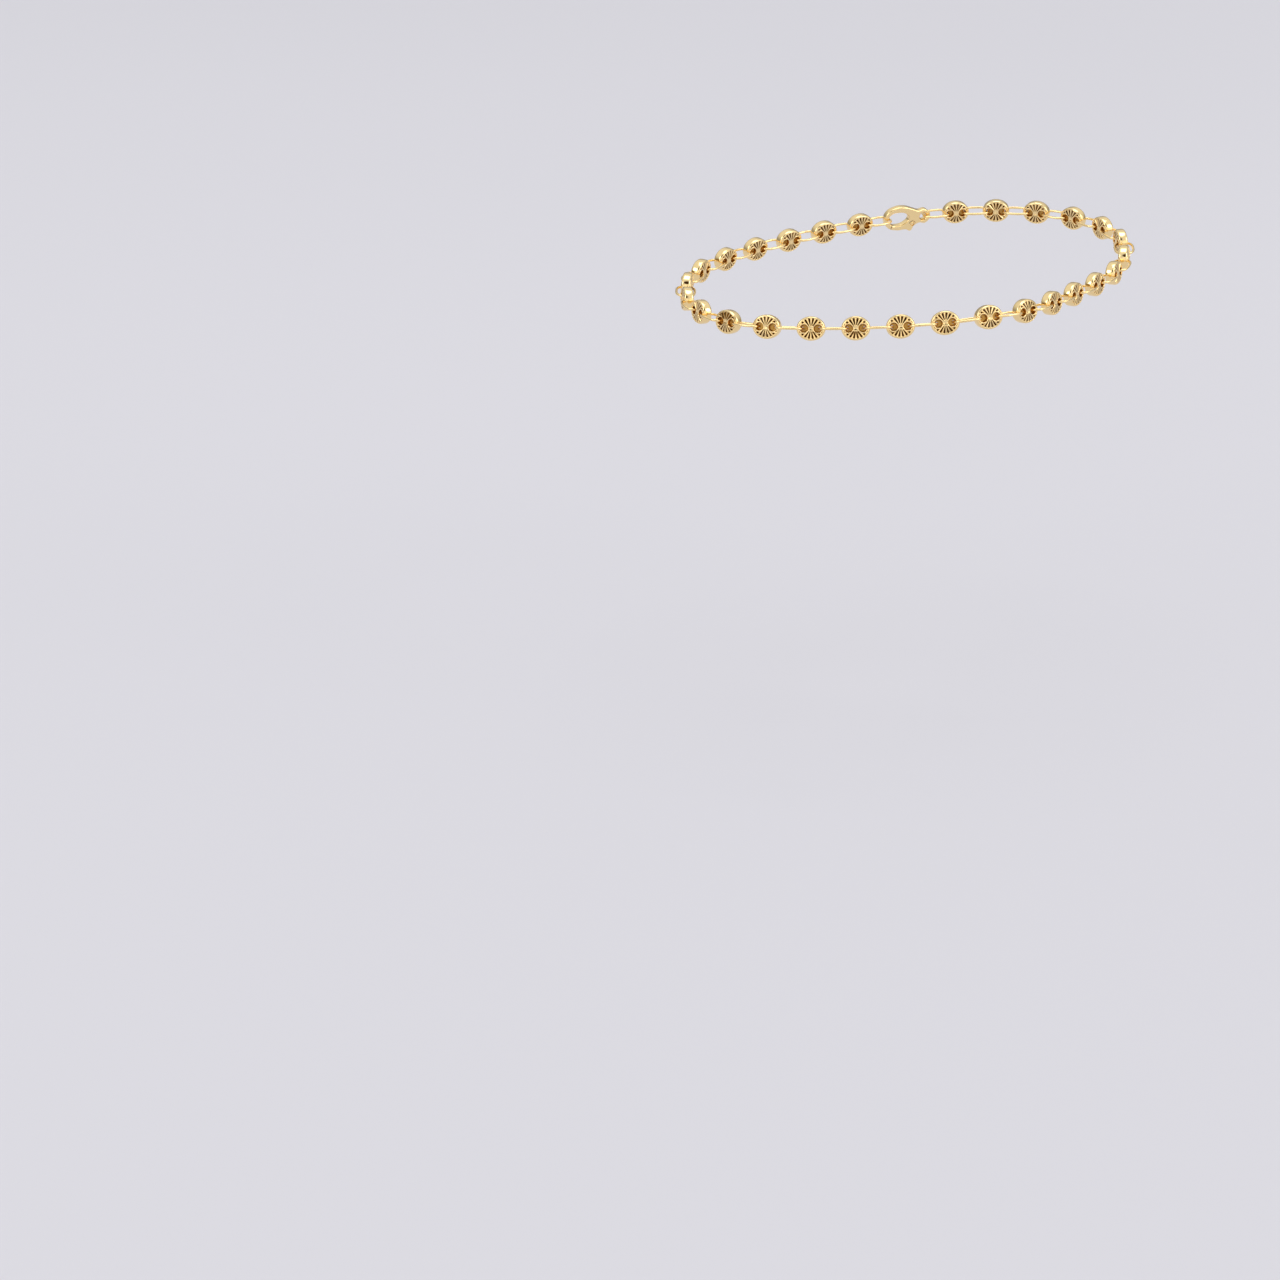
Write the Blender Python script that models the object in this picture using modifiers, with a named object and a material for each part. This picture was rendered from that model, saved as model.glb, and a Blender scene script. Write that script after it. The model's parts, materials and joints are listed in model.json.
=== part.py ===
"""A gold chain anklet: puffed oval links with two eyes each, joined by plain wire rings.

The loop lies around the origin as it is worn, +Z up, its longest extent along X. Every puffed
link stands on the route with its face turned away from the ankle. A wire ring passes through
the facing eyes of two neighbours. A closed claw clasp joins the two ends at the back.
Each piece is laid out in its own axes first: X along the chain, Y up, Z out of the face.
"""
import math

import bmesh
import bpy
from mathutils import Matrix, Vector

MM = 0.001

# The chain: how many puffed links there are, and how far apart they stand
LINK_COUNT = 28
PITCH = 8.6 * MM
# The slack that each wire ring keeps at the metal it hangs on
CLEARANCE = 0.16 * MM

# A puffed link: an oval pillow with a softened edge
LINK_LENGTH = 5.6 * MM
LINK_HEIGHT = 4.7 * MM
LINK_THICKNESS = 2.1 * MM
BORDER_THICKNESS = 1.84 * MM
EDGE_THICKNESS = 1.24 * MM
BORDER_WIDTH = 0.3 * MM
LINK_SIDES = 16

# The two eyes of a puffed link: each is a bowl pressed in from both faces, down to a thin web
EYE_OFFSET = 1.33 * MM
EYE_BOTTOM_RADIUS = 0.75 * MM
EYE_FACE_RADIUS = 1.08 * MM
EYE_WEB = 0.3 * MM
EYE_SIDES = 10
# The web is pierced for the ring, near its outer edge, and keeps a narrow ledge there
EYE_LEDGE = 0.08 * MM
HOLE_SIDES = 8

# A wire ring: an oval loop, longer along the chain than it is wide
WIRE = 0.5 * MM
RING_INNER_WIDTH = 3.4 * MM
RING_SQUARENESS = 2.8
RING_POINTS = 10

# The clasp: a claw with an eye for one ring and a closed hook for the other
CLASP_INNER_LENGTH = 8.44 * MM
CLASP_HEIGHT = 5.4 * MM
CLASP_BOW = 0.9 * MM
CLASP_THICKNESS = 1.6 * MM
CLASP_EDGE = 0.3 * MM
CLASP_EYE_RADIUS = 0.75 * MM
CLASP_EYE_WALL = 0.75 * MM
CLASP_EYE_SIDES = 5
# The claw's outline in three runs: from the tip of the hook over the back, round the eyelet,
# and along the lever. x is a share of the claw's half length. y is a share of its half height,
# and of the eyelet's outer radius round the eyelet
CLASP_BACK = [
    (1.0, 0.0),
    (0.893, 0.574),
    (0.566, 0.926),
    (0.137, 0.963),
    (-0.254, 0.704),
]
CLASP_EYELET = [
    (-0.502, 0.934),
    (-0.795, 1.0),
    (-1.0, 0.0),
    (-0.795, -1.0),
    (-0.502, -0.9),
]
CLASP_LEVER = [
    (-0.293, -0.704),
    (-0.137, -1.074),
    (0.059, -0.926),
    (0.469, -0.907),
    (0.873, -0.593),
]
# The opening of the hook: x as a share of the inner half length, y of the half height less
# the bow
CLASP_OPENING = [
    (1.0, 0.0),
    (0.865, 0.611),
    (0.474, 0.806),
    (0.071, 0.556),
    (-0.071, 0.0),
    (0.118, -0.528),
    (0.498, -0.778),
    (0.853, -0.583),
]
# Where the middle of the clasp stands, as a share of the route
CLASP_PLACE = 0.7202

# Points of the route around the ankle: x, y and z in millimetres, then the angle in degrees
# by which the faces look upward there
ROUTE = [
    (-46.7, 3.6, -2.2, 3.0),
    (-45.4, -9.6, -2.5, 6.0),
    (-38.2, -19.4, -2.1, 13.0),
    (-25.3, -25.9, -1.8, 16.0),
    (-10.4, -31.0, -1.0, 16.0),
    (2.0, -33.4, 0.1, 12.0),
    (12.9, -30.7, 0.0, 8.0),
    (26.0, -21.8, -0.5, 4.0),
    (39.2, -11.4, -0.2, 4.0),
    (46.0, -0.6, 1.5, 4.0),
    (46.4, 12.4, 2.3, 4.0),
    (39.9, 24.3, 2.5, 5.0),
    (27.6, 31.7, 2.2, 6.0),
    (13.1, 33.4, 1.7, 7.0),
    (-1.4, 32.3, 1.0, 8.0),
    (-15.7, 29.6, 0.1, 8.0),
    (-29.4, 24.7, -0.7, 6.0),
    (-41.0, 16.1, -1.5, 4.0),
]
ROUTE_STEPS = 60

# Where the metal of a link that carries a ring begins, seen from the link's middle
EYE_WALL = EYE_OFFSET + EYE_BOTTOM_RADIUS - EYE_LEDGE
HOLE_RADIUS = WIRE / 2 + CLEARANCE
RING_INNER_LENGTH = PITCH - 2 * EYE_WALL + 2 * CLEARANCE
# From the middle of the clasp to the middle of the next puffed link
CLASP_REACH = CLASP_INNER_LENGTH / 2 + RING_INNER_LENGTH - 2 * CLEARANCE + EYE_WALL
CHAIN_LENGTH = (LINK_COUNT - 1) * PITCH + 2 * CLASP_REACH


def clear_scene():
    """Empties the file and returns one collection for the pieces and one for the cutters."""
    for item in list(bpy.data.objects):
        bpy.data.objects.remove(item, do_unlink=True)
    for item in list(bpy.data.collections):
        bpy.data.collections.remove(item)
    pieces = bpy.data.collections.new("chain_anklet")
    cutters = bpy.data.collections.new("cutters")
    for item in (pieces, cutters):
        bpy.context.scene.collection.children.link(item)
    return pieces, cutters


def gold(name):
    """Polished yellow gold."""
    material = bpy.data.materials.new(name)
    material.use_nodes = True
    shader = material.node_tree.nodes["Principled BSDF"]
    shader.inputs["Base Color"].default_value = (0.86, 0.6, 0.24, 1.0)
    shader.inputs["Metallic"].default_value = 1.0
    shader.inputs["Roughness"].default_value = 0.16
    return material


def turned(name, profile, sides, collection):
    """Turns a profile of (radius, height) points, listed from the top down, about the Z axis."""
    mesh = bpy.data.meshes.new(name)
    rows = [(radius, 0.0, height) for radius, height in profile]
    mesh.from_pydata(rows, [(i, i + 1) for i in range(len(rows) - 1)], [])
    item = bpy.data.objects.new(name, mesh)
    collection.objects.link(item)
    screw = item.modifiers.new("turn", "SCREW")
    screw.angle = math.tau
    screw.steps = sides
    screw.render_steps = sides
    screw.use_merge_vertices = True
    screw.merge_threshold = 0.000001
    return item


def baked(item, name):
    """The mesh of an object with its modifiers in it, its loose doubles merged."""
    bpy.context.view_layer.update()
    graph = bpy.context.evaluated_depsgraph_get()
    mesh = bpy.data.meshes.new_from_object(item.evaluated_get(graph))
    mesh.name = name
    shape = bmesh.new()
    shape.from_mesh(mesh)
    bmesh.ops.remove_doubles(shape, verts=shape.verts, dist=0.000001)
    bmesh.ops.recalc_face_normals(shape, faces=shape.faces)
    shape.to_mesh(mesh)
    shape.free()
    return mesh


def eye_cutters(side, cutters):
    """The two bowls and the hole of one eye, on the side +1 or -1 of the link."""
    top = LINK_THICKNESS / 2 + 0.2 * MM
    bottom = EYE_WEB / 2
    slope = (EYE_FACE_RADIUS - EYE_BOTTOM_RADIUS) / (BORDER_THICKNESS / 2 - bottom)
    top_radius = EYE_BOTTOM_RADIUS + slope * (top - bottom)
    bowl = [(0.0, top), (top_radius, top), (EYE_BOTTOM_RADIUS, bottom), (0.0, bottom)]
    under = [(radius, -height) for radius, height in reversed(bowl)]
    hole = [(0.0, EYE_WEB), (HOLE_RADIUS, EYE_WEB), (HOLE_RADIUS, -EYE_WEB), (0.0, -EYE_WEB)]
    made = []
    for profile, sides, offset in (
        (bowl, EYE_SIDES, EYE_OFFSET),
        (under, EYE_SIDES, EYE_OFFSET),
        (hole, HOLE_SIDES, EYE_WALL - HOLE_RADIUS),
    ):
        cutter = turned("eye_cutter", profile, sides, cutters)
        cutter.location.x = side * offset
        if side < 0:
            cutter.rotation_euler.z = math.pi
        cutter.hide_render = True
        cutter.display_type = "WIRE"
        made.append(cutter)
    return made


def puffed_link_mesh(cutters):
    """One oval pillow with its two eyes cut through."""
    half = LINK_LENGTH / 2
    profile = [
        (0.0, LINK_THICKNESS / 2),
        (half - BORDER_WIDTH, BORDER_THICKNESS / 2),
        (half, EDGE_THICKNESS / 2),
        (half, -EDGE_THICKNESS / 2),
        (half - BORDER_WIDTH, -BORDER_THICKNESS / 2),
        (0.0, -LINK_THICKNESS / 2),
    ]
    pillow = turned("pillow", profile, LINK_SIDES, cutters)
    oval = baked(pillow, "pillow_oval")
    oval.transform(Matrix.Diagonal((1.0, LINK_HEIGHT / LINK_LENGTH, 1.0, 1.0)))
    body = bpy.data.objects.new("pillow_body", oval)
    cutters.objects.link(body)
    for cutter in eye_cutters(1, cutters) + eye_cutters(-1, cutters):
        cut = body.modifiers.new("eye", "BOOLEAN")
        cut.operation = "DIFFERENCE"
        cut.solver = "EXACT"
        cut.object = cutter
    mesh = baked(body, "puffed_link")
    bpy.data.objects.remove(pillow, do_unlink=True)
    bpy.data.objects.remove(body, do_unlink=True)
    return mesh


def ring_mesh():
    """One oval wire ring in its X-Z plane, its long axis along X and a flat at each end."""
    half_length = (RING_INNER_LENGTH + WIRE) / 2
    half_width = (RING_INNER_WIDTH + WIRE) / 2
    power = 2 / RING_SQUARENESS
    turns = [math.tau * (i + 0.5) / RING_POINTS for i in range(RING_POINTS)]
    along = [math.copysign(abs(math.cos(turn)) ** power, math.cos(turn)) for turn in turns]
    across = [math.copysign(abs(math.sin(turn)) ** power, math.sin(turn)) for turn in turns]
    curve = bpy.data.curves.new("ring", "CURVE")
    curve.dimensions = "3D"
    curve.bevel_depth = WIRE / 2
    curve.bevel_resolution = 1
    spline = curve.splines.new("POLY")
    spline.points.add(RING_POINTS - 1)
    spline.use_cyclic_u = True
    for point, x, z in zip(spline.points, along, across):
        point.co = (half_length * x / max(along), 0.0, half_width * z / max(across), 1.0)
    item = bpy.data.objects.new("ring", curve)
    bpy.context.scene.collection.objects.link(item)
    mesh = baked(item, "wire_ring")
    bpy.data.objects.remove(item, do_unlink=True)
    return mesh


def closed_spline(curve, points):
    """Adds a smooth closed outline through flat points to a curve."""
    spline = curve.splines.new("BEZIER")
    spline.bezier_points.add(len(points) - 1)
    spline.use_cyclic_u = True
    spline.resolution_u = 2
    for knot, (x, y) in zip(spline.bezier_points, points):
        knot.co = (x, y, 0.0)
        knot.handle_left_type = "AUTO"
        knot.handle_right_type = "AUTO"


def clasp_mesh():
    """A closed claw: an eye at -X, the hook and its lever around a long opening toward +X."""
    wall = CLASP_INNER_LENGTH / 2
    end = wall + CLASP_BOW
    rise = CLASP_HEIGHT / 2
    eyelet = CLASP_EYE_RADIUS + CLASP_EYE_WALL
    outline = [(end * x, rise * y) for x, y in CLASP_BACK]
    outline += [(end * x, eyelet * y) for x, y in CLASP_EYELET]
    outline += [(end * x, rise * y) for x, y in CLASP_LEVER]
    opening = [(wall * x, (rise - CLASP_BOW) * y) for x, y in CLASP_OPENING]
    eye = []
    for i in range(CLASP_EYE_SIDES):
        angle = math.tau * i / CLASP_EYE_SIDES + math.pi
        x = CLASP_EYE_RADIUS - wall + CLASP_EYE_RADIUS * math.cos(angle)
        eye.append((x, CLASP_EYE_RADIUS * math.sin(angle)))
    curve = bpy.data.curves.new("clasp", "CURVE")
    curve.dimensions = "2D"
    curve.fill_mode = "BOTH"
    curve.extrude = CLASP_THICKNESS / 2 - CLASP_EDGE
    curve.bevel_depth = CLASP_EDGE
    curve.bevel_resolution = 0
    curve.offset = -CLASP_EDGE
    for points in (outline, opening, eye):
        closed_spline(curve, points)
    item = bpy.data.objects.new("clasp", curve)
    bpy.context.scene.collection.objects.link(item)
    mesh = baked(item, "claw_clasp")
    bpy.data.objects.remove(item, do_unlink=True)
    return mesh


def route_point(place):
    """The route at a place counted in route points: a smooth closed curve through them all."""
    first = math.floor(place)
    f = place - first
    a, b, c, d = (Vector(ROUTE[(first + k) % len(ROUTE)]) for k in (-1, 0, 1, 2))
    cubic = 3 * b - a - 3 * c + d
    return 0.5 * (2 * b + (c - a) * f + (2 * a - 5 * b + 4 * c - d) * f ** 2 + cubic * f ** 3)


class Route:
    """The closed route, drawn to the length of the chain and measured along itself."""

    def __init__(self, length):
        steps = ROUTE_STEPS * len(ROUTE)
        rows = [route_point(i / ROUTE_STEPS) for i in range(steps + 1)]
        places = [Vector(row[:3]) for row in rows]
        run = [0.0]
        for here, after in zip(places, places[1:]):
            run.append(run[-1] + (after - here).length)
        self.scale = length / run[-1]
        self.length = length
        self.places = [place * self.scale for place in places]
        self.leans = [math.radians(row[3]) for row in rows]
        self.run = [value * self.scale for value in run]

    def at(self, distance):
        """The place and the lean at a distance along the route."""
        distance %= self.length
        i = next(k for k in range(len(self.run) - 1) if self.run[k + 1] >= distance)
        f = (distance - self.run[i]) / (self.run[i + 1] - self.run[i])
        lean = self.leans[i] * (1 - f) + self.leans[i + 1] * f
        return self.places[i].lerp(self.places[i + 1], f), lean

    def axes(self, distance):
        """Place, direction, upward axis and face direction of a piece on the route."""
        place, lean = self.at(distance)
        ahead = self.at(distance + PITCH / 8)[0] - self.at(distance - PITCH / 8)[0]
        ahead.normalize()
        out = ahead.cross(Vector((0.0, 0.0, 1.0))).normalized()
        up = out.cross(ahead)
        face = math.cos(lean) * out + math.sin(lean) * up
        return place, ahead, face.cross(ahead), face


def placed(place, ahead, up, face):
    """The matrix that brings a piece from its own axes to its place on the chain."""
    turn = Matrix((ahead, up, face)).transposed().to_4x4()
    return Matrix.Translation(place) @ turn


def add_piece(name, mesh, matrix, collection):
    item = bpy.data.objects.new(name, mesh)
    item.matrix_world = matrix
    collection.objects.link(item)


def main():
    pieces, cutters = clear_scene()
    metal = gold("yellow_gold")
    link_mesh = puffed_link_mesh(cutters)
    wire_mesh = ring_mesh()
    claw_mesh = clasp_mesh()
    for mesh in (link_mesh, wire_mesh, claw_mesh):
        mesh.materials.clear()
        mesh.materials.append(metal)

    route = Route(CHAIN_LENGTH)
    middle = CLASP_PLACE * CHAIN_LENGTH
    clasp = route.axes(middle)
    links = [route.axes(middle + CLASP_REACH + i * PITCH) for i in range(LINK_COUNT)]

    add_piece("clasp", claw_mesh, placed(*clasp), pieces)
    for i, axes in enumerate(links):
        add_piece(f"puffed_link_{i + 1:02d}", link_mesh, placed(*axes), pieces)

    # Each ring reaches from the carrying metal of one piece to that of the next
    chain = [(clasp, CLASP_INNER_LENGTH / 2)]
    chain += [(axes, EYE_WALL) for axes in links]
    for i, (here, wall) in enumerate(chain):
        after, next_wall = chain[(i + 1) % len(chain)]
        start = here[0] + here[1] * wall
        end = after[0] - after[1] * next_wall
        ahead = (end - start).normalized()
        face = here[3] + after[3]
        face = (face - ahead * face.dot(ahead)).normalized()
        matrix = placed((start + end) / 2, ahead, face.cross(ahead), face)
        add_piece(f"wire_ring_{i + 1:02d}", wire_mesh, matrix, pieces)


main()
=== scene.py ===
"""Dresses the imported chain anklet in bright-cut and polished yellow gold.

The puffed links, the wire rings and the claw clasp are made here in full detail and stand
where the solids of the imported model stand. Lengths are in metres, in that model's frame.
Each piece is laid out in its own axes first: X along the chain, Y up, Z out of the face.
"""

import json
import logging
import math
from dataclasses import dataclass
from enum import Enum
from typing import Any, Mapping, Sequence, Union

import bmesh
import bpy
import numpy as np
from mathutils import Matrix, Vector

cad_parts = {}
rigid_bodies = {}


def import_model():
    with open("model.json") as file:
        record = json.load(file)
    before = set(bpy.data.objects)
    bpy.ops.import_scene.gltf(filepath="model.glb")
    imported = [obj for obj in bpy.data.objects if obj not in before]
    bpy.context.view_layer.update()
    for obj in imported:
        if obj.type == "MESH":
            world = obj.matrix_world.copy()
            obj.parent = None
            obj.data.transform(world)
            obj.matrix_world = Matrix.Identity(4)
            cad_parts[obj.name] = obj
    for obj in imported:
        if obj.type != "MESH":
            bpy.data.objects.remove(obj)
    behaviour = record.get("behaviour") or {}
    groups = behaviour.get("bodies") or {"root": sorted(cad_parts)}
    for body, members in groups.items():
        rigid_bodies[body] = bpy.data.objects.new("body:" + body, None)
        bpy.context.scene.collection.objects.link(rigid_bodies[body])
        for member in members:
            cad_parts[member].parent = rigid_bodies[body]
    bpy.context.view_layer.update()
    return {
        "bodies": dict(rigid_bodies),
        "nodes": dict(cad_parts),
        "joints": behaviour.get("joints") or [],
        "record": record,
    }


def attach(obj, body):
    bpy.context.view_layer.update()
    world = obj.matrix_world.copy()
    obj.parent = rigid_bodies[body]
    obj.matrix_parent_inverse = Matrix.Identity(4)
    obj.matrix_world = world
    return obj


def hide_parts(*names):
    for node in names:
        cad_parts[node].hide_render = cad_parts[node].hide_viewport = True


LOG = logging.getLogger("chain_anklet")
MM = 0.001
BODY = "root"

# Numbers of the Mix node's two colour inputs and of its colour output.
MIX_LOW, MIX_HIGH, MIX_RESULT = 6, 7, 2

Number = Union[float, "Term"]
Colour = tuple[float, float, float]
Spot = tuple[float, float]
Sockets = Mapping[Union[str, int], Any]


# ---------------------------------------------------------------------------------------------
# Node trees written as expressions
# ---------------------------------------------------------------------------------------------


class Term:
    """One number or vector of a node tree, so that its maths reads as Python expressions."""

    def __init__(self, sheet: "Sheet", socket: bpy.types.NodeSocket) -> None:
        """Keeps the socket and the sheet that it is on."""
        self.sheet = sheet
        self.socket = socket

    def __add__(self, other: Number) -> "Term":
        """The sum."""
        return self.sheet.math("ADD", self, other)

    def __sub__(self, other: Number) -> "Term":
        """The difference."""
        return self.sheet.math("SUBTRACT", self, other)

    def __rsub__(self, other: Number) -> "Term":
        """A number less this term."""
        return self.sheet.math("SUBTRACT", other, self)

    def __mul__(self, other: Number) -> "Term":
        """The product."""
        return self.sheet.math("MULTIPLY", self, other)

    def __truediv__(self, other: Number) -> "Term":
        """The quotient."""
        return self.sheet.math("DIVIDE", self, other)

    def __pow__(self, other: Number) -> "Term":
        """The power."""
        return self.sheet.math("POWER", self, other)

    __radd__ = __add__
    __rmul__ = __mul__

    def made(self, operation: str, *others: Number) -> "Term":
        """This term through one more Math node, such as SQRT or MINIMUM."""
        return self.sheet.math(operation, self, *others)

    def eased(self, low: float, high: float) -> "Term":
        """Rises smoothly from 0 where this term is low to 1 where it is high."""
        sockets = {"Value": self, "From Min": low, "From Max": high}
        return self.sheet.term("ShaderNodeMapRange", {"interpolation_type": "SMOOTHSTEP"}, sockets)


class Sheet:
    """A node tree, shader or geometry, to which nodes are added one at a time."""

    def __init__(self, tree: bpy.types.NodeTree) -> None:
        """Keeps the tree."""
        self.tree = tree

    @classmethod
    def geometry(cls, name: str) -> "Sheet":
        """A new, empty geometry tree."""
        return cls(bpy.data.node_groups.new(name, "GeometryNodeTree"))

    @classmethod
    def shader(cls, owner: Union[bpy.types.Material, bpy.types.World]) -> "Sheet":
        """The emptied shader tree of a material or a world.

        Args:
            owner: The material or world.

        Returns:
            The tree's sheet.
        """
        owner.use_nodes = True
        owner.node_tree.nodes.clear()
        return cls(owner.node_tree)

    def put(self, socket: bpy.types.NodeSocket, value: Any) -> None:
        """Links a term into a socket, or sets the socket's own value.

        Args:
            socket: The input to fill.
            value: A term, an output socket or a plain value.
        """
        if isinstance(value, Term):
            value = value.socket
        if isinstance(value, bpy.types.NodeSocket):
            self.tree.links.new(value, socket)
        else:
            socket.default_value = value

    def node(
        self, kind: str, settings: Mapping[str, Any] | None = None, sockets: Sockets | None = None
    ) -> bpy.types.Node:
        """Adds a node of any type.

        Args:
            kind: The node's type.
            settings: The node's own properties, set first.
            sockets: Values or links of its inputs, by name or number.

        Returns:
            The new node.
        """
        made = self.tree.nodes.new(kind)
        for name, value in (settings or {}).items():
            setattr(made, name, value)
        for name, value in (sockets or {}).items():
            self.put(made.inputs[name], value)
        return made

    def term(
        self,
        kind: str,
        settings: Mapping[str, Any] | None = None,
        sockets: Sockets | None = None,
        output: Union[str, int] = 0,
    ) -> Term:
        """Adds a node as node() does and gives one of its outputs, by name or number."""
        return Term(self, self.node(kind, settings, sockets).outputs[output])

    def math(self, operation: str, *values: Number) -> Term:
        """One Math node on up to three numbers or terms."""
        return self.term("ShaderNodeMath", {"operation": operation}, dict(enumerate(values)))

    def vector(self, x: Number, y: Number, z: Number) -> Term:
        """Three numbers as a vector."""
        return self.term("ShaderNodeCombineXYZ", None, {0: x, 1: y, 2: z})

    def split(self, value: Term) -> tuple[Term, Term, Term]:
        """The three numbers of a vector."""
        parts = self.node("ShaderNodeSeparateXYZ", None, {0: value})
        return tuple(Term(self, socket) for socket in parts.outputs)

    def mixed(self, share: Term, low: Union[Colour, Term], high: Union[Colour, Term]) -> Term:
        """A colour between two others.

        Args:
            share: 0 for the first colour, 1 for the second.
            low: The first colour, plain or a term.
            high: The second colour, plain or a term.

        Returns:
            The mixed colour.
        """
        ends = [part if isinstance(part, Term) else (*part, 1.0) for part in (low, high)]
        sockets = {0: share, MIX_LOW: ends[0], MIX_HIGH: ends[1]}
        return self.term("ShaderNodeMix", {"data_type": "RGBA"}, sockets, MIX_RESULT)

    def given(self, name: str, kind: str) -> Term:
        """A named input of a geometry tree.

        Args:
            name: The input's name.
            kind: Its socket type.

        Returns:
            The input as a term.
        """
        self.tree.interface.new_socket(name=name, in_out="INPUT", socket_type=kind)
        source = next((n for n in self.tree.nodes if n.bl_idname == "NodeGroupInput"), None)
        source = source or self.tree.nodes.new("NodeGroupInput")
        return Term(self, source.outputs[name])

    def sizes(self, values: Mapping[str, Union[int, float]]) -> list[Term]:
        """Named inputs of a geometry tree for a piece's sizes.

        Args:
            values: The sizes by name. A whole number gets an integer input.

        Returns:
            The inputs as terms, in their order.
        """
        kinds = {int: "NodeSocketInt", float: "NodeSocketFloat"}
        return [self.given(name, kinds[type(value)]) for name, value in values.items()]

    def close(self, shape: Term, finish: Term | None = None) -> bpy.types.NodeTree:
        """Ends a geometry tree in Realize Instances, Set Material and its output.

        Args:
            shape: The finished geometry.
            finish: Its material, where the tree gives one.

        Returns:
            The tree.
        """
        dress = {} if finish is None else {"Material": finish}
        real = self.term("GeometryNodeRealizeInstances", None, {0: shape})
        dressed = self.term("GeometryNodeSetMaterial", None, {"Geometry": real, **dress})
        self.tree.interface.new_socket(
            name="Geometry", in_out="OUTPUT", socket_type="NodeSocketGeometry"
        )
        self.node("NodeGroupOutput", None, {"Geometry": dressed})
        return self.tree


# ---------------------------------------------------------------------------------------------
# Finishes
# ---------------------------------------------------------------------------------------------


class Working(Enum):
    """How the surface of a piece of the chain was worked."""

    BRIGHT_CUT = "bright_cut"
    DRAWN = "drawn"
    CAST = "cast"


@dataclass(frozen=True)
class GoldFinish:
    """Polished yellow gold with the fine marks of its working, and painted shade in cut grooves
    and inside eyes.

    Args:
        working: How the piece was made.
        tint: Linear colour of the metal.
        deep: Linear colour of the painted shade inside an eye.
        groove_shade_colour: Linear colour of the painted shade at the bottom of a cut groove.
        roughness: Roughness of the clean polish.
        wear: How much rougher the handled spots are.
        matt: How much rougher the hollows are.
        handled: Size of the handled spots.
        spots: Levels of the noise between which a handled spot sets in.
        mark: Size of the fine marks.
        grain: How ragged the spots and marks are, from 0 to 1.
        drawn: Scale of the noise across the chain on drawn wire, whose marks are longer.
        relief: Height of the marks that bend the reflections.
        strength: How strongly they bend them.
        cut_wear: Share of the wear that a bright cut takes off.
        cut_relief: Share of the marks that a bright cut takes off.
    """

    working: Working
    tint: Colour = (1.0, 0.76, 0.38)
    deep: Colour = (0.48, 0.27, 0.07)
    groove_shade_colour: Colour = (0.16, 0.065, 0.01)
    roughness: float = 0.1
    wear: float = 0.08
    matt: float = 0.22
    handled: float = 1.6923 * MM
    spots: tuple[float, float] = (0.42, 0.72)
    mark: float = 0.16 * MM
    grain: float = 0.55
    drawn: float = 0.2
    relief: float = 0.004 * MM
    strength: float = 0.5
    cut_wear: float = 0.7
    cut_relief: float = 0.8

    def material(self) -> bpy.types.Material:
        """Writes the material's tree.

        Returns:
            The material, named after its working.
        """
        made = bpy.data.materials.new("gold_" + self.working.value)
        sheet = Sheet.shader(made)
        place = sheet.term("ShaderNodeTexCoord", None, None, "Object")
        patches = self._noise(sheet, place, self.handled, 2.0).eased(*self.spots)
        marks = self._noise(sheet, self._drawn_out(sheet, place), self.mark, 3.0)
        hollow, cut, valley = (
            sheet.term("ShaderNodeAttribute", {"attribute_name": name}, None, "Fac")
            for name in ("hollow", "cut", "valley")
        )
        worn = self.wear * patches * (1.0 - self.cut_wear * cut)
        relief = {
            "Strength": self.strength,
            "Distance": self.relief,
            "Height": marks * (1.0 - self.cut_relief * cut),
        }
        # Painted shade: deep inside the eyes the colour is darkened to a brown gold; the same mask
        # makes the metal matt.
        polished = sheet.mixed(hollow, self.tint, self.deep)
        surface = {
            # Painted shade: the bottom of each cut groove is darkened to a deep brown.
            "Base Color": sheet.mixed(valley, polished, self.groove_shade_colour),
            "Metallic": 1.0,
            "Roughness": self.roughness + worn + self.matt * hollow,
            "Normal": sheet.term("ShaderNodeBump", None, relief),
        }
        gold = sheet.term("ShaderNodeBsdfPrincipled", None, surface)
        sheet.node("ShaderNodeOutputMaterial", None, {"Surface": gold})
        return made

    def _drawn_out(self, sheet: Sheet, place: Term) -> Term:
        """The coordinates of the marks, which drawing leaves longer across the chain."""
        scale = (1.0, 1.0, self.drawn if self.working is Working.DRAWN else 1.0)
        return sheet.term("ShaderNodeMapping", None, {"Vector": place, "Scale": scale})

    def _noise(self, sheet: Sheet, place: Term, size: float, detail: float) -> Term:
        """A soft noise over the surface, from 0 to 1."""
        sockets = {"Vector": place, "Scale": 1.0 / size, "Detail": detail, "Roughness": self.grain}
        return sheet.term("ShaderNodeTexNoise", None, sockets)


@dataclass(frozen=True)
class FloorFinish:
    """Plain pale studio floor.

    Args:
        pale: Linear colour of the floor.
        dim: Share of that colour in the faint clouds.
        cloud: Scale of the noise that makes the clouds.
        edge: Levels of the noise between which a cloud sets in.
        roughness: The floor's roughness.
        gloss: Its specular level.
    """

    pale: Colour = (0.67, 0.665, 0.72)
    dim: float = 0.97
    cloud: float = 1.1
    edge: tuple[float, float] = (0.35, 0.65)
    roughness: float = 0.85
    gloss: float = 0.15

    def material(self) -> bpy.types.Material:
        """Writes the material's tree.

        Returns:
            The floor's material.
        """
        made = bpy.data.materials.new("studio_floor")
        sheet = Sheet.shader(made)
        place = sheet.term("ShaderNodeTexCoord", None, None, "Object")
        cloud = sheet.term("ShaderNodeTexNoise", None, {"Vector": place, "Scale": self.cloud})
        dimmed = tuple(self.dim * part for part in self.pale)
        surface = {
            "Base Color": sheet.mixed(cloud.eased(*self.edge), self.pale, dimmed),
            "Roughness": self.roughness,
            "Specular IOR Level": self.gloss,
        }
        floor = sheet.term("ShaderNodeBsdfPrincipled", None, surface)
        sheet.node("ShaderNodeOutputMaterial", None, {"Surface": floor})
        return made


# ---------------------------------------------------------------------------------------------
# Meshes
# ---------------------------------------------------------------------------------------------


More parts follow.
